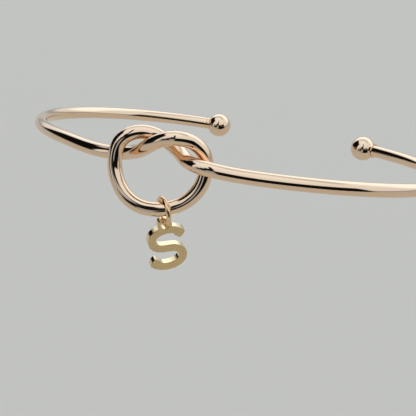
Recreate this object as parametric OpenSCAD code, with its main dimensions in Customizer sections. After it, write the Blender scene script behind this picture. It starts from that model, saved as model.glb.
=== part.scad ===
// Love-knot charm bangle: one round wire, open at the back, with a ball on each end and an
// overhand knot at the front. A jump ring on the knot's loop carries a flat letter charm.
// Millimetres. The origin is the middle of the wrist opening, +Z is up, the knot faces -Y
// and the gap between the balls faces +Y. The bangle leans back, knot side up, and the
// charm hangs plumb.

/* [Wire] */
// Diameter of the bangle's wire
wire_d = 1.9; // [1.6:0.1:2.1]
// Diameter of the ball soldered on each end
ball_d = 4; // [3:0.1:5]

/* [Bangle] */
// Width of the oval, between the middles of the wire
bangle_w = 62; // [56:1:68]
// Depth of the oval from front to back, between the middles of the wire
bangle_depth = 51; // [46:1:58]
// Angle round the oval from the knot to the left ball
left_angle = 154; // [130:1:160]
// Angle round the oval from the knot to the right ball
right_angle = 156; // [130:1:160]
// How far the oval leans back, with the knot side up
lean = 18.5; // [10:0.5:30]
// How far the oval leans sideways, with the right side up
side_lean = 1; // [0:1:8]
// How far the left end is bent down, out of the oval's plane
left_drop = 0.4; // [0:0.1:2]

/* [Knot] */
// Width of the knot's loop, between the middles of the wire
loop_w = 12; // [11.5:0.1:15]
// Height of the knot, from the loop's lowest guide to its highest
loop_h = 9.6; // [9.3:0.1:12]
// Free space between two strands where they cross
strand_gap = 0.4; // [0.3:0.05:0.8]

/* [Jump ring] */
// Diameter of the jump ring's wire
ring_wire = 0.65; // [0.5:0.05:0.75]
// Inside diameter of the jump ring
ring_bore = 2.8; // [2.7:0.1:3.6]
// Running clearance of every piece that hangs on another
hang_gap = 0.06; // [0.04:0.01:0.1]
// How far the jump ring is turned to the right about the vertical
ring_turn = 50; // [40:1:54]

/* [Charm] */
// Width of the letter
letter_w = 5.2; // [4.8:0.1:7]
// Height of the letter
letter_h = 6.4; // [5.8:0.1:9]
// Width of the letter's stroke
stroke = 1.05; // [0.8:0.05:1.3]
// Thickness of the charm's plate
plate = 1.1; // [0.8:0.1:1.4]
// Outside diameter of the lug at the letter's top
lug_d = 1.9; // [1.8:0.1:2.2]
// Hole in the lug
lug_hole = 1.15; // [1.05:0.05:1.3]
// Height of the hole's middle above the letter's top edge
lug_rise = 0.3; // [0:0.1:1]
// Distance of the hole to the left of the letter's middle
lug_shift = 0.3; // [0:0.1:1]
// How much less the charm is turned than its ring
charm_slack = 8; // [0:1:12]

/* [Hidden] */
gold = [0.90, 0.74, 0.53];
pale_gold = [0.78, 0.66, 0.44];
sides = 16;         // flats round the wire
rings = 3;          // wire sections for each guide point
oval_step = 8;      // spacing of the oval's guide points, in degrees
cap_round = 0.3;    // bulge of the rounding at the ends of the letter's stroke
flare_share = 0.5;  // how far the stroke's ends swell inward, as a share of half its width
hang_row = 13.6;    // place of the jump ring along the knot table
strand = wire_d + strand_gap;

// The knot, from the left tail to the right tail. The wire is drawn toward these guides.
// across: share of loop_w to the right of the knot's middle
// up: share of loop_h above the oval's plane
// in: share of the strand spacing toward the wrist from the oval's own line
//  across    up      in
knot = [
  [-1.02, -0.030,  0.05],
  [-0.79, -0.040,  0.25],
  [-0.59, -0.025,  0.50],  // left tail, behind the loop's left side
  [-0.42,  0.025,  0.52],
  [-0.26,  0.090,  0.10],
  [-0.10,  0.215, -0.46],
  [ 0.05,  0.330, -0.62],  // in front, at the crossing on top
  [ 0.20,  0.385, -0.60],
  [ 0.35,  0.360, -0.02],
  [ 0.455, 0.210,  0.55],
  [ 0.48,  0.000,  0.62],  // loop's right side, behind the right tail
  [ 0.46, -0.220,  0.62],
  [ 0.37, -0.420,  0.58],
  [ 0.215,-0.575,  0.38],
  [ 0.02, -0.655, -0.04],  // bottom of the loop
  [-0.18, -0.630, -0.46],
  [-0.36, -0.490, -0.60],
  [-0.48, -0.260, -0.60],
  [-0.51, -0.030, -0.60],  // loop's left side, in front of the left tail
  [-0.485, 0.165, -0.62],
  [-0.395, 0.305, -0.42],
  [-0.265, 0.365,  0.14],
  [-0.12,  0.335,  0.56],
  [ 0.035, 0.255,  0.62],  // behind, at the crossing on top
  [ 0.175, 0.165,  0.50],
  [ 0.305, 0.075, -0.04],
  [ 0.46,  0.060, -0.56],
  [ 0.635, 0.040, -0.55],  // right tail, in front of the loop's right side
  [ 0.81,  0.015, -0.30],
  [ 1.02,  0.000, -0.05]
];

// Half of the letter's stroke, from its middle to its lower end. The other half mirrors it.
// across, up: shares of half the width and half the height of the stroke's middle line
half_letter = [
  [ 0.22,  0.01],
  [ 0.62, -0.03],
  [ 0.92, -0.17],
  [ 1.04, -0.44],
  [ 0.93, -0.73],
  [ 0.54, -0.95],
  [ 0.02, -1.04],
  [-0.42, -1.01],
  [-0.72, -0.92],
  [-0.94, -0.80],
  [-1.16, -0.70]
];

// Point on a cubic B-spline through its guides g, at s guides from the start
function spline_at(g, s) =
  let (i = min(floor(s), len(g) - 4), t = s - i)
  (pow(1 - t, 3) * g[i]
    + (3 * pow(t, 3) - 6 * pow(t, 2) + 4) * g[i + 1]
    + (3 * t + 3 * pow(t, 2) - 3 * pow(t, 3) + 1) * g[i + 2]
    + pow(t, 3) * g[i + 3]) / 6;

// Direction of the same curve
function spline_dir(g, s) =
  let (d = spline_at(g, s + 0.01) - spline_at(g, s - 0.01)) d / norm(d);

function reversed(v) = [for (i = [len(v) - 1 : -1 : 0]) v[i]];

// The bangle's line, before it leans
oval_x = bangle_w / 2;
oval_y = bangle_depth / 2;
function oval_line(x) = -oval_y * sqrt(1 - pow(x / oval_x, 2));
function oval_angle(p) = atan2(p[0] / oval_x, -p[1] / oval_y);
// Guides on the oval from angle a to angle b, pushed out so that the wire meets the oval
function oval_guides(a, b) =
  let (n = round(abs(b - a) / oval_step), step = (b - a) / n, k = 3 / (2 + cos(step)))
  [for (i = [-1 : n - 1]) let (t = a + i * step)
    [k * oval_x * sin(t), -k * oval_y * cos(t), a < 0 ? -left_drop * pow(t / a, 8) : 0]];

knot_guides = [for (r = knot)
  [r[0] * loop_w, oval_line(r[0] * loop_w) + r[2] * strand, r[1] * loop_h]];
left_guides = oval_guides(-left_angle, oval_angle(knot_guides[0]));
right_guides = oval_guides(right_angle, oval_angle(knot_guides[len(knot) - 1]));

// The whole line, leaned as the bangle hangs
function leaned(p) =
  let (y = p[1] * cos(lean) + p[2] * sin(lean), z = p[2] * cos(lean) - p[1] * sin(lean))
  [p[0] * cos(side_lean) - z * sin(side_lean), y, z * cos(side_lean) + p[0] * sin(side_lean)];
guides = [for (p = concat(left_guides, knot_guides, reversed(right_guides))) leaned(p)];
line_end = len(guides) - 3;

// Where the jump ring hangs, and the slope of the wire there
hang_s = len(left_guides) + hang_row - 1;
hang = spline_at(guides, hang_s);
slope = asin(abs(spline_dir(guides, hang_s)[2]));

// A tube of diameter d along the guides, its sections turned as little as they can be
module tube(g, d) {
  n = (len(g) - 3) * rings;
  at = [for (i = [0 : n]) spline_at(g, i / rings)];
  dir = [for (i = [0 : n]) spline_dir(g, max(0.01, min(i / rings, len(g) - 3.01)))];
  side = [for (i = 0, u = cross(dir[0], [0, 0, 1]); i <= n;
    i = i + 1, u = i <= n ? u - (u * dir[i]) * dir[i] : u) u / norm(u)];
  skin = [for (i = [0 : n]) let (v = cross(dir[i], side[i]))
    for (k = [0 : sides - 1]) let (a = 360 * k / sides)
      at[i] + d / 2 * (cos(a) * side[i] + sin(a) * v)];
  walls = [for (i = [0 : n - 1]) for (k = [0 : sides - 1]) let (m = (k + 1) % sides)
    for (f = [[i * sides + k, i * sides + m, (i + 1) * sides + m],
              [i * sides + k, (i + 1) * sides + m, (i + 1) * sides + k]]) reversed(f)];
  ends = [[for (k = [0 : sides - 1]) k], [for (k = [sides - 1 : -1 : 0]) n * sides + k]];
  polyhedron(skin, concat(walls, ends), convexity = 12);
}

// The bangle: knotted wire and the two balls, soldered into one piece
module bangle_wire() {
  color(gold) {
    tube(guides, wire_d);
    for (s = [0, line_end]) translate(spline_at(guides, s)) sphere(d = ball_d, $fn = 48);
  }
}

// The jump ring hangs plumb round the bottom of the knot's loop
ring_mid = (ring_bore + ring_wire) / 2;
ring_drop = ring_bore / 2 - wire_d / 2 - ring_wire / 2 * tan(slope) - hang_gap;
module jump_ring() {
  color(gold) translate(hang - [0, 0, ring_drop]) rotate([0, 90, ring_turn])
    rotate_extrude($fn = 48) translate([ring_mid, 0]) circle(d = ring_wire, $fn = 24);
}

// Outline of the letter's stroke about the letter's middle
letter_half = [(letter_w - stroke) / 2, (letter_h - stroke) / 2];
letter_guides = [for (p = concat([for (p = reversed(half_letter)) -p], half_letter))
  [p[0] * letter_half[0], p[1] * letter_half[1]]];
letter_steps = 4;
letter_n = (len(letter_guides) - 3) * letter_steps;
// Half the stroke's width at step i, toward one side (1 or -1). The ends swell inward only.
function stroke_half(i, side) =
  let (u = 2 * i / letter_n - 1, s = max(0, min(1, (abs(u) - 0.76) / 0.14)))
  stroke / 2 * (1 + (side * u < 0 ? flare_share * s * s * (3 - 2 * s) : 0));
function letter_side(side) = [for (i = [0 : letter_n])
  let (s = max(0.01, min(i / letter_steps, len(letter_guides) - 3.01)),
    d = spline_dir(letter_guides, s))
  spline_at(letter_guides, s) + side * stroke_half(i, side) * [-d[1], d[0]]];
// Rounded end of the stroke; end is 1 at its lower end and -1 at its upper end
function letter_cap(end) =
  let (s = end > 0 ? len(letter_guides) - 3.01 : 0.01,
    d = end * spline_dir(letter_guides, s), across = [-d[1], d[0]],
    outer = stroke_half(letter_n, 1), inner = stroke_half(letter_n, -1))
  [for (a = [78 : -13 : -78]) spline_at(letter_guides, s)
    + cap_round * pow(cos(a), 0.7) * d
    + ((outer - inner) / 2 + (outer + inner) / 2 * sin(a)) * across];

module letter_outline() {
  polygon(concat(letter_side(1), letter_cap(1), reversed(letter_side(-1)), letter_cap(-1)));
}

// Between the plate's middle and its faces the ring curves up and strays sideways
ring_climb = asin(plate / 2 / ring_mid);
ring_rise = ring_mid * (1 - cos(ring_climb));
ring_stray = plate / 2 * tan(charm_slack);
hole_play = lug_hole / 2 - ring_wire / 2 / cos(ring_climb) - hang_gap;
// The charm: flat letter with its lug, drawn flat with the lug's hole at the origin
module charm_plate() {
  lug_foot = lug_rise + stroke / 2;
  neck = 0.9 * lug_d;
  difference() {
    union() {
      translate([lug_shift, -lug_rise - letter_h / 2, -plate / 2])
        linear_extrude(height = plate) letter_outline();
      cylinder(h = plate, d = lug_d, center = true, $fn = 48);
      translate([-neck / 2, -lug_foot, -plate / 2]) cube([neck, lug_foot, plate]);
    }
    cylinder(h = 2 * plate, d = lug_hole, center = true, $fn = 48);
  }
}

module letter_charm() {
  hole_drop = sqrt(max(0, pow(hole_play, 2) - pow(ring_stray, 2))) - ring_rise;
  color(pale_gold) translate(hang - [0, 0, ring_drop + ring_mid + hole_drop])
    rotate([90, 0, ring_turn - charm_slack]) charm_plate();
}

bangle_wire();
jump_ring();
letter_charm();
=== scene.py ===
# %% [markdown]
# # A knotted bangle with a letter charm
# The real object is an open bangle. One round brass wire is bent to an oval, tied in a loose
# overhand knot at the front, finished with a soldered ball at each end, polished and then
# plated a pale rose gold. A small jump ring hangs on the knot and carries a flat letter.
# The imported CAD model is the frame: everything made here sits where that model says.

# %% Load the frame
from math import acos, atan2, cos, degrees, pi, radians, sin, sqrt

import bmesh
import bpy
from mathutils import Matrix, Vector


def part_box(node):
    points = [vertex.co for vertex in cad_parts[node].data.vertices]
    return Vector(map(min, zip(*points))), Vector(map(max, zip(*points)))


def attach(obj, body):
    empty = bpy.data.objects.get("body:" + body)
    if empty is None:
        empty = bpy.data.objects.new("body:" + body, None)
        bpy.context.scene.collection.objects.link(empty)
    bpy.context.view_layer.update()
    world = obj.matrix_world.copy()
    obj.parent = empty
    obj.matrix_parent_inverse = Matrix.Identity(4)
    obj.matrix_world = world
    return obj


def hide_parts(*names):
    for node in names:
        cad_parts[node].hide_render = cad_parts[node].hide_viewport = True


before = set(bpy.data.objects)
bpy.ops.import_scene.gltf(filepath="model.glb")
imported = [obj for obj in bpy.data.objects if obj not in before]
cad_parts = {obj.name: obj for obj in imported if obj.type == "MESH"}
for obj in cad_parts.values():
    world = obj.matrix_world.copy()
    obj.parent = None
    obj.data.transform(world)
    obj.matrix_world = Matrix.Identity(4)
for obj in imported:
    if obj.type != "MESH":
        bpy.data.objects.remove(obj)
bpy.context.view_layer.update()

MM = 0.001

# %% [markdown]
# ## The camera
# The camera stands only 15 cm from the middle of the opening, to the right of the knot and
# above it, as a phone or a macro lens does. That is why the wire looks a third thicker at the
# knot than at the two balls. The picture's middle isn't the oval's middle, so the camera is
# turned a little to the left and down. Turning it keeps the lens shift at zero, so that other
# views stay centred.

# %% Camera
def toward(azimuth, elevation):
    """Direction from the object, with azimuth counted from the front toward the right."""
    turn, rise = radians(azimuth), radians(elevation)
    return Vector((sin(turn) * cos(rise), -cos(turn) * cos(rise), sin(rise)))


camera_distance, camera_azimuth, camera_elevation = 0.15, 24.06, 25.43
view_azimuth, view_elevation = 26.0, 28.98
lens = bpy.data.cameras.new("macro_lens")
lens.lens, lens.sensor_width, lens.clip_start = 86.3, 36.0, 0.01
camera = bpy.data.objects.new("camera", lens)
bpy.context.scene.collection.objects.link(camera)
bpy.context.scene.camera = camera
camera.location = camera_distance * toward(camera_azimuth, camera_elevation)
camera.rotation_mode = "QUATERNION"
camera.rotation_quaternion = (-toward(view_azimuth, view_elevation)).to_track_quat("-Z", "Y")
print("camera at", [round(v, 4) for v in camera.location])

# %% [markdown]
# ## Small helpers
# Three helpers serve the whole lesson. One turns the hex colours that a maker would note down
# into the linear numbers that a shader wants. One adds a node with its settings and links.
# One takes a bmesh and makes the finished piece: its doubles are merged, its faces point
# outwards, and it rides on its body in place of its CAD node.

# %% Helpers for colours, nodes and pieces
merge_gap = 0.0005 * MM  # points closer than this are one point


def linear(hex_colour):
    """sRGB hex colour to linear RGBA."""
    parts = [int(hex_colour[i:i + 2], 16) / 255 for i in (1, 3, 5)]
    return [p / 12.92 if p <= 0.04045 else ((p + 0.055) / 1.055) ** 2.4 for p in parts] + [1.0]


def add(tree, kind, settings=(), links=()):
    """Adds a node; settings are its properties or sockets, links are (socket, source) pairs."""
    made = tree.nodes.new(kind)
    for key, value in dict(settings).items():
        if isinstance(key, str) and hasattr(made, key):
            setattr(made, key, value)
        else:
            made.inputs[key].default_value = value
    for key, source in links:
        tree.links.new(source, made.inputs[key])
    return made


def finish_piece(name, shape, materials, body, node, sharp=35):
    """Makes the finished piece from a bmesh and hangs it on its body."""
    bmesh.ops.remove_doubles(shape, verts=shape.verts, dist=merge_gap)
    bmesh.ops.recalc_face_normals(shape, faces=shape.faces)
    mesh = bpy.data.meshes.new(name)
    shape.to_mesh(mesh)
    shape.free()
    for material in materials:
        mesh.materials.append(material)
    mesh.shade_smooth()
    mesh.set_sharp_from_angle(angle=radians(sharp))
    piece = bpy.data.objects.new(name, mesh)
    bpy.context.scene.collection.objects.link(piece)
    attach(piece, body)
    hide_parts(node)
    print(name, len(mesh.polygons), "faces")
    return piece


# %% [markdown]
# ## Plated and polished brass
# The wire is brass that was polished on a cloth wheel and plated with a thin layer of rose
# gold. The eye sees a mirror with a warm tint, crisp dark lines where the room is dark, and
# almost white light where the lamp is. Hand bending leaves the surface very slightly wavy, and
# wear leaves hairlines, which is why the reflections aren't ruler-straight. The pattern sizes
# are real: waves about 2.5 mm long on the wire, and hairlines a few hundredths of a millimetre
# wide, which are drawn at 0.16 mm so that they still show. One function makes all four finishes,
# because they differ only in colour, haze, the size of their waves and how much the hairlines
# stand out.

# %% How plated brass is made
hairline_length, hairline_stretch, hairline_depth = 1.4, 9, 0.002  # mm, times, mm
hairline_turn = (0.3, 0.5, 0.9)  # radians: they slant across the wire and follow no axis
noise_low, noise_high = 0.35, 0.75  # the haze grows between these values of the noise
least_haze, most_haze = 0.75, 1.6  # of the roughness, between and on the hairlines
stain_share = 0.06  # how much the waves stain the plate's colour


def per_mm(size):
    """Scale of a pattern whose features are about this many millimetres long."""
    return 1 / (size * MM)


def plated_brass(name, colour, roughness, wave_length, wave_height, scratch_strength):
    """Plated brass with soft waves, both of whose sizes are in millimetres, and hairlines."""
    material = bpy.data.materials.new(name)
    material.use_nodes = True
    tree = material.node_tree
    tree.nodes.clear()
    place = add(tree, "ShaderNodeTexCoord")
    waves = add(tree, "ShaderNodeTexNoise", {"Scale": per_mm(wave_length), "Detail": 1.0},
                [("Vector", place.outputs["Object"])])
    stretch = add(tree, "ShaderNodeMapping",
                  {"Rotation": hairline_turn, "Scale": (1, hairline_stretch, hairline_stretch)},
                  [("Vector", place.outputs["Object"])])
    hairlines = add(tree, "ShaderNodeTexNoise", {"Scale": per_mm(hairline_length), "Detail": 3.0},
                    [("Vector", stretch.outputs["Vector"])])
    haze = add(tree, "ShaderNodeMapRange",
               {"From Min": noise_low, "From Max": noise_high,
                "To Min": roughness * least_haze, "To Max": roughness * most_haze},
               [("Value", hairlines.outputs["Fac"])])
    wavy = add(tree, "ShaderNodeBump", {"Strength": 1.0, "Distance": wave_height * MM},
               [("Height", waves.outputs["Fac"])])
    scratched = add(tree, "ShaderNodeBump",
                    {"Strength": scratch_strength, "Distance": hairline_depth * MM},
                    [("Height", hairlines.outputs["Fac"]), ("Normal", wavy.outputs["Normal"])])
    # a colour Mix node has its factor in socket 0 and its two colours in sockets 6 and 7
    stained = add(tree, "ShaderNodeMix", {"data_type": "RGBA", "blend_type": "MULTIPLY",
                                          "factor_mode": "UNIFORM"})
    stained.inputs[0].default_value = stain_share
    stained.inputs[6].default_value = linear(colour)
    tree.links.new(waves.outputs["Color"], stained.inputs[7])
    metal = add(tree, "ShaderNodeBsdfPrincipled", {"Metallic": 1.0},
                [("Base Color", stained.outputs[2]), ("Roughness", haze.outputs["Result"]),
                 ("Normal", scratched.outputs["Normal"])])
    add(tree, "ShaderNodeOutputMaterial", {}, [("Surface", metal.outputs["BSDF"])])
    return material


print("hairlines", round(hairline_length / hairline_stretch, 2), "mm wide")

# %% [markdown]
# ## Four finishes
# The wire and its balls are buffed on the wheel, so they are a clear mirror of pale rose gold.
# The jump ring comes from a coil of drawn wire and is only tumbled: its colour is a little
# deeper, its shine softer, its waves shorter. The charm's plating is yellower. Its face is
# satin, so it shows an even glow and no picture of the room, and its cut edge is left bright,
# so it flashes white or black. A metal keeps the default IOR: its colour does the work.

# %% Materials: plated brass, four finishes
polished_rose_gold = plated_brass("rose_gold_plated_brass_polished", "#F3D3B2", 0.05,
                                  2.5, 0.005, 0.25)
ring_rose_gold = plated_brass("rose_gold_plated_brass_ring", "#EFCB9C", 0.07, 1.2, 0.004, 0.3)
satin_gold = plated_brass("gold_plated_brass_satin_face", "#E4C692", 0.26, 1.6, 0.003, 0.15)
bright_edge = plated_brass("gold_plated_brass_bright_edge", "#F6DDB0", 0.05, 0.8, 0.003, 0.2)
print("materials:", [m.name for m in bpy.data.materials])

# %% [markdown]
# ## The line of the wire
# A bender works round a former and then ties the knot by hand, so the wire's middle line is one
# smooth curve: two arcs of an oval with the knot between them. The numbers are those of the CAD
# source. Guides on the oval and guides of the knot draw one cubic curve, which Blender calls a
# NURBS curve of order 4. After that the whole oval leans back with its knot side up, because
# the bangle is shown held up.

# %% Sizes and guides of the wire
wire_d, ball_d = 1.9 * MM, 4.0 * MM
oval_x, oval_y = 31.0 * MM, 25.5 * MM
left_angle, right_angle, oval_step = 154, 156, 8
lean, side_lean, left_drop = radians(18.5), radians(1), 0.4 * MM
drop_power = 8  # so high that only the last part of the left end bends down
loop_w, loop_h, strand = 12.0 * MM, 9.6 * MM, 2.3 * MM

# across: share of loop_w; up: share of loop_h; inward: share of strand
knot = [
    (-1.02, -0.03, 0.05), (-0.79, -0.04, 0.25), (-0.59, -0.025, 0.50), (-0.42, 0.025, 0.52),
    (-0.26, 0.09, 0.10), (-0.10, 0.215, -0.46), (0.05, 0.33, -0.62), (0.20, 0.385, -0.60),
    (0.35, 0.36, -0.02), (0.455, 0.21, 0.55), (0.48, 0.0, 0.62), (0.46, -0.22, 0.62),
    (0.37, -0.42, 0.58), (0.215, -0.575, 0.38), (0.02, -0.655, -0.04), (-0.18, -0.63, -0.46),
    (-0.36, -0.49, -0.60), (-0.48, -0.26, -0.60), (-0.51, -0.03, -0.60), (-0.485, 0.165, -0.62),
    (-0.395, 0.305, -0.42), (-0.265, 0.365, 0.14), (-0.12, 0.335, 0.56), (0.035, 0.255, 0.62),
    (0.175, 0.165, 0.50), (0.305, 0.075, -0.04), (0.46, 0.06, -0.56), (0.635, 0.04, -0.55),
    (0.81, 0.015, -0.30), (1.02, 0.0, -0.05),
]


def knot_guide(across, up, inward):
    """A guide of the knot: its place before the oval leans back."""
    x = across * loop_w
    return Vector((x, -oval_y * sqrt(1 - (x / oval_x) ** 2) + inward * strand, up * loop_h))


def oval_guides(start, end):
    """Guides round the oval from one angle to another, in degrees from the knot."""
    count = round(abs(end - start) / oval_step)
    step = (end - start) / count
    push = 3 / (2 + cos(radians(step)))  # a cubic curve runs inside its guides by this much
    guides = []
    for i in range(-1, count):
        angle = start + i * step
        rise = -left_drop * (angle / start) ** drop_power if start < 0 else 0
        guides.append(Vector((push * oval_x * sin(radians(angle)),
                              -push * oval_y * cos(radians(angle)), rise)))
    return guides


def angle_of(place):
    """Where a place lies round the oval, in degrees from the knot."""
    return degrees(atan2(place.x / oval_x, -place.y / oval_y))


knot_guides = [knot_guide(*row) for row in knot]
flat_guides = (oval_guides(-left_angle, angle_of(knot_guides[0])) + knot_guides
               + oval_guides(right_angle, angle_of(knot_guides[-1]))[::-1])
leaning = Matrix.Rotation(-side_lean, 3, "Y") @ Matrix.Rotation(-lean, 3, "X")
guides = [leaning @ place for place in flat_guides]
print(len(guides), "guides, from", [round(v / MM, 2) for v in guides[0]],
      "to", [round(v / MM, 2) for v in guides[-1]])

# %% [markdown]
# ## The wire
# Round wire is the simplest thing to make from a curve: the curve gets a round bevel of half
# the wire's diameter. It could also be a circle extruded along the line, but the curve turns
# its sections as little as possible by itself, so no twist shows in the reflections. The curve
# is turned into a mesh once, so that the piece can ride on its body like any other.

# %% Knotted wire
def curve_mesh(name, points, radius, along, around):
    """A round wire along the cubic curve that its points guide, as a bmesh."""
    line = bpy.data.curves.new(name, "CURVE")
    line.dimensions = "3D"
    spline = line.splines.new("NURBS")
    spline.points.add(len(points) - 1)
    for point, place in zip(spline.points, points):
        point.co = (*place, 1)
    spline.order_u, spline.resolution_u = 4, along
    line.bevel_depth, line.bevel_resolution = radius, around
    line.use_fill_caps = True
    holder = bpy.data.objects.new(name, line)
    bpy.context.scene.collection.objects.link(holder)
    drawn = holder.evaluated_get(bpy.context.evaluated_depsgraph_get())
    mesh = bpy.data.meshes.new_from_object(drawn)
    shape = bmesh.new()
    shape.from_mesh(mesh)
    bpy.data.objects.remove(holder)
    bpy.data.meshes.remove(mesh)
    bpy.data.curves.remove(line)
    return shape


wire = curve_mesh("wire_line", guides, wire_d / 2, along=24, around=20)
finish_piece("knotted_wire", wire, [polished_rose_gold], "bangle", "bangle_wire")

# %% [markdown]
# ## The two balls
# A ball is soldered on each end of the wire, and the solder leaves a small round hollow where
# the wire goes in. A ball like this is turned work, so it is made as on a lathe: a single
# vertex is spun into the ball's arc, spun on into the hollow of the solder, and the whole
# profile is then spun once round the wire's direction.

# %% End balls
solder_round, solder_overlap = 0.35 * MM, 0.2 * MM


def turned_ball(centre, outward):
    """A ball with its solder hollow; outward points along the wire, away from it."""
    ball, thin, hollow = ball_d / 2, wire_d / 2, solder_round
    hollow_x, hollow_z = thin + hollow, -sqrt((ball + hollow) ** 2 - (thin + hollow) ** 2)
    sweep = pi - acos(-hollow_z / (ball + hollow))
    shape = bmesh.new()
    top = shape.verts.new((0, 0, ball))
    bmesh.ops.spin(shape, geom=[top], cent=(0, 0, 0), axis=(0, 1, 0), angle=sweep, steps=44)
    shape.verts.ensure_lookup_table()
    last = shape.verts[-1]
    bmesh.ops.spin(shape, geom=[last], cent=(hollow_x, 0, hollow_z), axis=(0, 1, 0),
                   angle=sweep - pi / 2 - pi, steps=10)
    shape.verts.ensure_lookup_table()
    last = shape.verts[-1]
    inner = bmesh.ops.extrude_vert_indiv(shape, verts=[last])["verts"][0]
    inner.co = (0, 0, hollow_z - solder_overlap)
    bmesh.ops.spin(shape, geom=shape.verts[:] + shape.edges[:], cent=(0, 0, 0), axis=(0, 0, 1),
                   angle=2 * pi, steps=64, use_merge=True)
    turn = outward.to_track_quat("Z", "Y").to_matrix().to_4x4()
    bmesh.ops.transform(shape, matrix=Matrix.Translation(centre) @ turn, verts=shape.verts)
    return shape


def curve_end(a, b, c):
    """Place and outward direction of the curve's end, from its last three guides."""
    return (a + 4 * b + c) / 6, (a - c).normalized()


for side, near in (("left", guides[:3]), ("right", guides[:-4:-1])):
    centre, outward = curve_end(*near)
    finish_piece(f"end_ball_{side}", turned_ball(centre, outward), [polished_rose_gold],
                 "bangle", "bangle_wire")
    print(side, "ball at", [round(v / MM, 2) for v in centre])

# %% [markdown]
# ## The jump ring
# A jump ring is cut from a coil of thin wire and closed with two pliers, so its ends meet but
# stay unsoldered. A torus would have no such joint, so a round face is spun almost all the way
# round instead. That leaves the fine gap, and the rims of the two cut faces are bevelled as
# tumbling rounds them.

# %% Jump ring
ring_wire, ring_bore, ring_heading = 0.65 * MM, 2.8 * MM, radians(50)
ring_mid = (ring_bore + ring_wire) / 2
ring_low, ring_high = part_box("jump_ring")
ring_centre = (Vector(ring_low) + Vector(ring_high)) / 2
joint_gap, joint_round, joint_turn = 0.05 * MM, 0.03 * MM, radians(35)

shape = bmesh.new()
bmesh.ops.create_circle(shape, cap_ends=True, segments=32, radius=ring_wire / 2)
section_place = Matrix.Translation((ring_mid, 0, 0)) @ Matrix.Rotation(pi / 2, 4, "X")
bmesh.ops.transform(shape, matrix=section_place, verts=shape.verts)
bmesh.ops.rotate(shape, verts=shape.verts, cent=(0, 0, 0),
                 matrix=Matrix.Rotation(joint_turn, 3, "Z"))
bmesh.ops.spin(shape, geom=shape.faces[:] + shape.verts[:] + shape.edges[:], cent=(0, 0, 0),
               axis=(0, 0, 1), angle=2 * pi - joint_gap / ring_mid, steps=96)
rims = [edge for edge in shape.edges if len(edge.link_faces) == 2
        and any(len(face.verts) > 4 for face in edge.link_faces)]
bmesh.ops.bevel(shape, geom=rims, offset=joint_round, segments=2, profile=0.5,
                affect="EDGES", material=-1)
ring_place = (Matrix.Translation(ring_centre) @ Matrix.Rotation(ring_heading, 4, "Z")
              @ Matrix.Rotation(pi / 2, 4, "Y"))
bmesh.ops.transform(shape, matrix=ring_place, verts=shape.verts)
finish_piece("jump_ring_wire", shape, [ring_rose_gold], "drop", "jump_ring")
print("joint:", len(rims), "rim edges bevelled")

# %% [markdown]
# ## The letter charm
# The charm is a flat plate cast or cut in one piece with its lug. A text object would bring some
# typeface's own shape, so the middle line of the stroke is drawn here as one smooth curve. The
# letter looks the same after half a turn, so only half of its line is written down.

# %% The letter's sizes and line
letter_w, letter_h, stroke, plate = 5.2 * MM, 6.4 * MM, 1.05 * MM, 1.1 * MM
lug_d, lug_hole, lug_rise, lug_shift = 1.9 * MM, 1.15 * MM, 0.3 * MM, 0.3 * MM
swell_share, swell_start, swell_length = 0.5, 0.76, 0.14  # of the width and of the half stroke
cap_round, cap_fullness, cap_angles = 0.3 * MM, 0.7, (12, 25, 38, 51, 64, 77)
stroke_steps, ahead_step = 150, 0.02
charm_heading = ring_heading - radians(8)
half_letter = [(0.22, 0.01), (0.62, -0.03), (0.92, -0.17), (1.04, -0.44), (0.93, -0.73),
               (0.54, -0.95), (0.02, -1.04), (-0.42, -1.01), (-0.72, -0.92), (-0.94, -0.80),
               (-1.16, -0.70)]
half_size = Vector(((letter_w - stroke) / 2, (letter_h - stroke) / 2))
letter_guides = [Vector((x * half_size.x, y * half_size.y))
                 for x, y in [(-x, -y) for x, y in half_letter[::-1]] + half_letter]
line_end = len(letter_guides) - 3
print("letter line:", len(letter_guides), "guides")

# %% [markdown]
# ## The stroke
# The stroke has the same width everywhere, except that its rounded ends swell inward. A curve
# with a bevel can't do both and keep square edges, so a small upright rectangle is extruded
# step by step along the line, as a broad pen would draw it, and grows or narrows on the way.

# %% Letter stroke
def on_line(points, along):
    """Point of the cubic curve, so many guides along from its start."""
    first = min(int(along), len(points) - 4)
    t = along - first
    a, b, c, d = points[first:first + 4]
    return ((1 - t) ** 3 * a + (3 * t ** 3 - 6 * t ** 2 + 4) * b
            + (3 * t + 3 * t ** 2 - 3 * t ** 3 + 1) * c + t ** 3 * d) / 6


def stroke_place(share, forward=0.0, narrow=1.0):
    """Matrix that puts the pen's rectangle across the stroke, share 0 to 1 along it."""
    along = share * line_end
    spot = on_line(letter_guides, along)
    ahead = (on_line(letter_guides, min(along + ahead_step, line_end))
             - on_line(letter_guides, max(along - ahead_step, 0)))
    swell = max(0, min(1, (abs(2 * share - 1) - swell_start) / swell_length))
    swell = swell_share / 2 * swell * swell * (3 - 2 * swell)
    inward = stroke / 2 * swell * (1 if share < 0.5 else -1)
    return (Matrix.Translation((spot.x, spot.y, 0))
            @ Matrix.Rotation(atan2(ahead.y, ahead.x), 4, "Z")
            @ Matrix.Translation((forward, inward, 0))
            @ Matrix.Diagonal((1, (1 + swell) * narrow, 1, 1)))


# each cap is a pair: how far it reaches past the stroke's end, and how narrow it is there
caps = [(cap_round * cos(radians(turn)) ** cap_fullness, sin(radians(turn)))
        for turn in cap_angles]
places = [stroke_place(0, -reach, narrow) for reach, narrow in caps]
places += [stroke_place(i / stroke_steps) for i in range(stroke_steps + 1)]
places += [stroke_place(1, reach, narrow) for reach, narrow in caps[::-1]]

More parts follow.
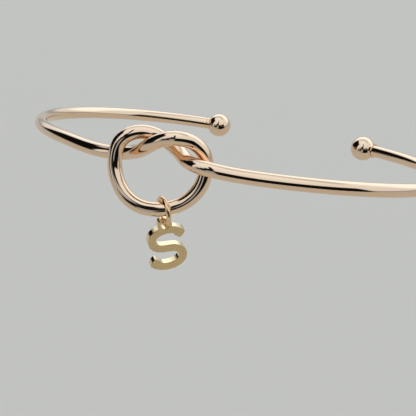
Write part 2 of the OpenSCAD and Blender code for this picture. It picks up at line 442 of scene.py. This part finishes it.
shape = bmesh.new()
bmesh.ops.create_grid(shape, x_segments=1, y_segments=1, size=0.5)
bmesh.ops.transform(shape, matrix=places[0] @ Matrix.Rotation(pi / 2, 4, "Y")
                    @ Matrix.Diagonal((plate, stroke, 1, 1)), verts=shape.verts)
pen, inner = shape.faces[:], []
for before, after in zip(places, places[1:]):
    drawn = bmesh.ops.extrude_face_region(shape, geom=pen)["geom"]
    pen = [part for part in drawn if isinstance(part, bmesh.types.BMFace)]
    inner += pen
    bmesh.ops.transform(shape, matrix=after @ before.inverted(),
                        verts=[part for part in drawn if isinstance(part, bmesh.types.BMVert)])
bmesh.ops.delete(shape, geom=inner[:-1], context="FACES_ONLY")  # the last one closes the end
bmesh.ops.translate(shape, verts=shape.verts, vec=(lug_shift, -lug_rise - letter_h / 2, 0))
print("letter stroke:", len(shape.faces), "faces,",
      sum(len(edge.link_faces) != 2 for edge in shape.edges), "open edges")

# %% [markdown]
# ## The lug and its hole
# The lug is cast in one with the letter: a short round bar with a hole, and a neck under it.
# All of it could be drawn as one outline, but then each part would be hard to change alone.
# So each part is its own small solid, and boolean modifiers join them and cut the hole. The
# manifold solver is used, because it gives the same mesh in each run.

# %% Lug and hole
def solid_object(name, shape):
    """A working solid for a boolean cut."""
    bmesh.ops.recalc_face_normals(shape, faces=shape.faces)
    mesh = bpy.data.meshes.new(name)
    shape.to_mesh(mesh)
    shape.free()
    solid = bpy.data.objects.new(name, mesh)
    bpy.context.scene.collection.objects.link(solid)
    return solid


def round_bar(diameter, height):
    """A round bar that stands on the plate, as a bmesh."""
    bar = bmesh.new()
    bmesh.ops.create_cone(bar, cap_ends=True, segments=64, radius1=diameter / 2,
                          radius2=diameter / 2, depth=height)
    return bar


letter = solid_object("letter_solid", shape)
lug = solid_object("lug_solid", round_bar(lug_d, plate))
hole = solid_object("hole_solid", round_bar(lug_hole, 2 * plate))
neck_shape = bmesh.new()
neck_width, lug_foot = 0.9 * lug_d, lug_rise + stroke / 2
bmesh.ops.create_cube(neck_shape, size=1, matrix=Matrix.Translation((0, -lug_foot / 2, 0))
                      @ Matrix.Diagonal((neck_width, lug_foot, plate, 1)))
neck = solid_object("neck_solid", neck_shape)
for other, work in ((lug, "UNION"), (neck, "UNION"), (hole, "DIFFERENCE")):
    cut_step = letter.modifiers.new(other.name, "BOOLEAN")
    cut_step.operation, cut_step.object, cut_step.solver = work, other, "MANIFOLD"
joined = letter.evaluated_get(bpy.context.evaluated_depsgraph_get())
mesh = bpy.data.meshes.new_from_object(joined)
shape = bmesh.new()
shape.from_mesh(mesh)
for solid in (letter, lug, hole, neck):
    bpy.data.objects.remove(solid)
bpy.data.meshes.remove(mesh)
print("charm, joined and cut:", len(shape.faces), "faces")

# %% [markdown]
# ## The charm's edges
# A cast and tumbled edge is never sharp, and its small round catches the light as a thin line.
# First the flat faces are made whole again, because the cuts left them in pieces. Then only the
# edges of the outline are bevelled, and not those that run through the plate. The two flat
# faces get the satin finish and everything else the bright one.

# %% Edges, finishes and place
cut_merge, flat_angle = 0.002 * MM, radians(0.5)
edge_round, edge_angle, edge_level = 0.06 * MM, radians(60), 0.01 * MM
bmesh.ops.remove_doubles(shape, verts=shape.verts, dist=cut_merge)
bmesh.ops.dissolve_limit(shape, angle_limit=flat_angle, verts=shape.verts, edges=shape.edges)
outline = [edge for edge in shape.edges if len(edge.link_faces) == 2
           and edge.calc_face_angle(0) > edge_angle
           and abs(edge.verts[0].co.z - edge.verts[1].co.z) < edge_level]
bmesh.ops.bevel(shape, geom=outline, offset=edge_round, segments=2, profile=0.5,
                affect="EDGES", material=-1, clamp_overlap=True)
for face in shape.faces:
    face.material_index = 0 if abs(face.normal.z) > 0.9 else 1
print("outline:", len(outline), "edges bevelled")
hole_centre = Vector((ring_centre.x, ring_centre.y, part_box("letter_charm")[1][2] - lug_d / 2))
charm_place = (Matrix.Translation(hole_centre) @ Matrix.Rotation(charm_heading, 4, "Z")
               @ Matrix.Rotation(pi / 2, 4, "X"))
bmesh.ops.transform(shape, matrix=charm_place, verts=shape.verts)
finish_piece("letter_charm_plate", shape, [satin_gold, bright_edge], "drop",
             "letter_charm", sharp=18)

# %% [markdown]
# ## The floor
# A plain pale floor lies 30 cm below the bangle, which is held up as on a wrist. The camera
# looks down, so the floor is all that it sees behind the metal, and so far down it shows no
# shadow. The metal mirrors it too, which gives the tan band along the underside of the wire. A
# plane with a matt paint is enough, because it has to stay plain.

# %% Floor
floor_drop, floor_away, floor_turn, floor_half = 0.3, 1.2, 26, 2.0  # metres and degrees
floor_centre = floor_away * toward(180 + floor_turn, 0) - Vector((0, 0, floor_drop))
floor_shape = bmesh.new()
bmesh.ops.create_grid(floor_shape, x_segments=8, y_segments=8, size=floor_half,
                      matrix=Matrix.Translation(floor_centre)
                      @ Matrix.Rotation(radians(floor_turn), 4, "Z"))
floor_mesh = bpy.data.meshes.new("floor")
floor_shape.to_mesh(floor_mesh)
floor_shape.free()
# matt wall paint: an even, pale tan without a shine
floor_paint = bpy.data.materials.new("floor_matt_paint")
floor_paint.use_nodes = True
matt = floor_paint.node_tree.nodes["Principled BSDF"]
matt.inputs["Base Color"].default_value = linear("#D9CFC0")
matt.inputs["Roughness"].default_value = 0.9
floor_mesh.materials.append(floor_paint)
floor = bpy.data.objects.new("floor", floor_mesh)
bpy.context.scene.collection.objects.link(floor)
print("floor centre", [round(v, 2) for v in floor_centre])

# %% [markdown]
# ## A room drawn by direction
# Polished metal shows the room, so the room is most of its look. A few lamps would give bright
# spots but no crisp black lines. So the room is drawn in the world, by the direction that a
# reflection looks in: its azimuth round the bangle, and its elevation. Soft steps between two
# limits make everything in it.

# %% Directions and patches of the room
world = bpy.data.worlds.new("studio")
bpy.context.scene.world = world
world.use_nodes = True
room = world.node_tree
room.nodes.clear()


def step(source, low, high, low_value=0.0, high_value=1.0):
    """A soft step of a value between two limits."""
    return add(room, "ShaderNodeMapRange",
               {"interpolation_type": "SMOOTHSTEP", "From Min": low, "From Max": high,
                "To Min": low_value, "To Max": high_value}, [("Value", source)]).outputs["Result"]


def maths(operation, *sources):
    """A sum, product or other operation on the outputs of nodes."""
    node = add(room, "ShaderNodeMath", {"operation": operation}, list(enumerate(sources)))
    return node.outputs[0]


direction = add(room, "ShaderNodeTexCoord").outputs["Generated"]
axes = add(room, "ShaderNodeSeparateXYZ", {}, [("Vector", direction)]).outputs
forward = add(room, "ShaderNodeMath", {"operation": "MULTIPLY", 1: -1.0},
              [(0, axes["Y"])]).outputs[0]
one = add(room, "ShaderNodeValue").outputs[0]
one.default_value = 1.0
azimuth = maths("ARCTAN2", axes["X"], forward)
elevation = maths("ARCSINE", axes["Z"])


def rise(low, high, low_value=0.0, high_value=1.0):
    """A soft step of the elevation, between two limits in degrees."""
    return step(elevation, radians(low), radians(high), low_value, high_value)


def patch(left, right, low, high, soft):
    """A patch of the room, given by its azimuths and elevations in degrees."""
    sides = maths("MULTIPLY", step(azimuth, radians(left - soft), radians(left + soft)),
                  step(azimuth, radians(right - soft), radians(right + soft), 1, 0))
    ends = maths("MULTIPLY", rise(low - soft, low + soft),
                 rise(high - soft, high + soft, 1, 0))
    return maths("MULTIPLY", sides, ends)


print("room: azimuth and elevation from", len(room.nodes), "nodes")

# %% [markdown]
# ## Black cards
# Polished metal looks flat in an evenly pale room. So black cards stand round it, as they do when
# jewellery is photographed, and each gives a crisp black line along the wire or on the charm's
# edge. A wide card stands in front, to the right, up to the height of the camera. A bar reaches
# from it to the left, with a low card under its end and a post with a tall strip on top of it.
# One more card is far to the left. The edges are only 3 degrees soft, so the lines in the metal
# stay crisp.

# %% Black cards
card_edge = 3
cards = {  # left, right, low and high, in degrees
    "wide": (18, 78, -20, 24), "bar": (-14, 21, 11, 27), "post": (-2, 22, 22, 40),
    "strip": (12, 24, 36, 68), "low": (-26, 2, -2, 14), "far_left": (-113, -44, -2, 53),
}
dark = None
for limits in cards.values():
    card = patch(*limits, card_edge)
    dark = card if dark is None else maths("MAXIMUM", dark, card)
print("black cards:", ", ".join(cards))

# %% [markdown]
# ## Pale light
# The rest of the room is pale and soft, as in a studio with white walls. It is a little brighter
# overhead, and brightest behind the bangle, where a window gives the light edge along the top
# of the wire. Above the window the wall is darker, which draws the fine line below that edge.
# The light is only half as strong below the horizon and low in front.

# %% Pale light
low_front = patch(left=-34, right=62, low=-20, high=22, soft=5)
pale_air = maths("MULTIPLY", rise(-3, 9), maths("SUBTRACT", one, low_front))
low_light = step(pale_air, 0.0, 1.0, 0.5, 1.08)
overhead = rise(25, 80, 0.0, 0.2)
window = maths("MULTIPLY", step(axes["Y"], 0.4, 0.7),
               maths("MULTIPLY", rise(10, 22), rise(48, 60, 0.6, 0.0)))
above_window = maths("MULTIPLY", step(axes["Y"], 0.05, 0.2),
                     maths("MULTIPLY", rise(52, 58), rise(70, 78, 0.4, 0.0)))
brightness = maths("SUBTRACT", maths("ADD", maths("ADD", low_light, overhead), window),
                   above_window)
print("pale light from", len(room.nodes), "nodes")

# %% [markdown]
# ## Light and backdrop
# The cards and the pale light are joined into the strength of one faintly blue light. Only the
# metal and the floor get it: a view that looks past the floor's edge sees a plain pale backdrop
# instead, so every picture stays quiet.

# %% Light and backdrop
black = 0.006  # what is left of the light where a card stands
# a number Mix node has its factor in socket 0 and its two numbers in sockets 2 and 3
light = add(room, "ShaderNodeMix", {"data_type": "FLOAT"}, [(0, dark), (2, brightness)])
light.inputs[3].default_value = black
sky = add(room, "ShaderNodeBackground", {"Color": linear("#E5F1FF")},
          [("Strength", light.outputs[0])])
backdrop = add(room, "ShaderNodeBackground", {"Color": linear("#C6C6C2"), "Strength": 1.0})
seen = add(room, "ShaderNodeLightPath").outputs["Is Camera Ray"]
mix = add(room, "ShaderNodeMixShader", {},
          [(0, seen), (1, sky.outputs[0]), (2, backdrop.outputs[0])])
add(room, "ShaderNodeOutputWorld", {}, [("Surface", mix.outputs[0])])
bpy.context.scene.view_settings.view_transform = "Standard"
print("room:", len(room.nodes), "nodes")
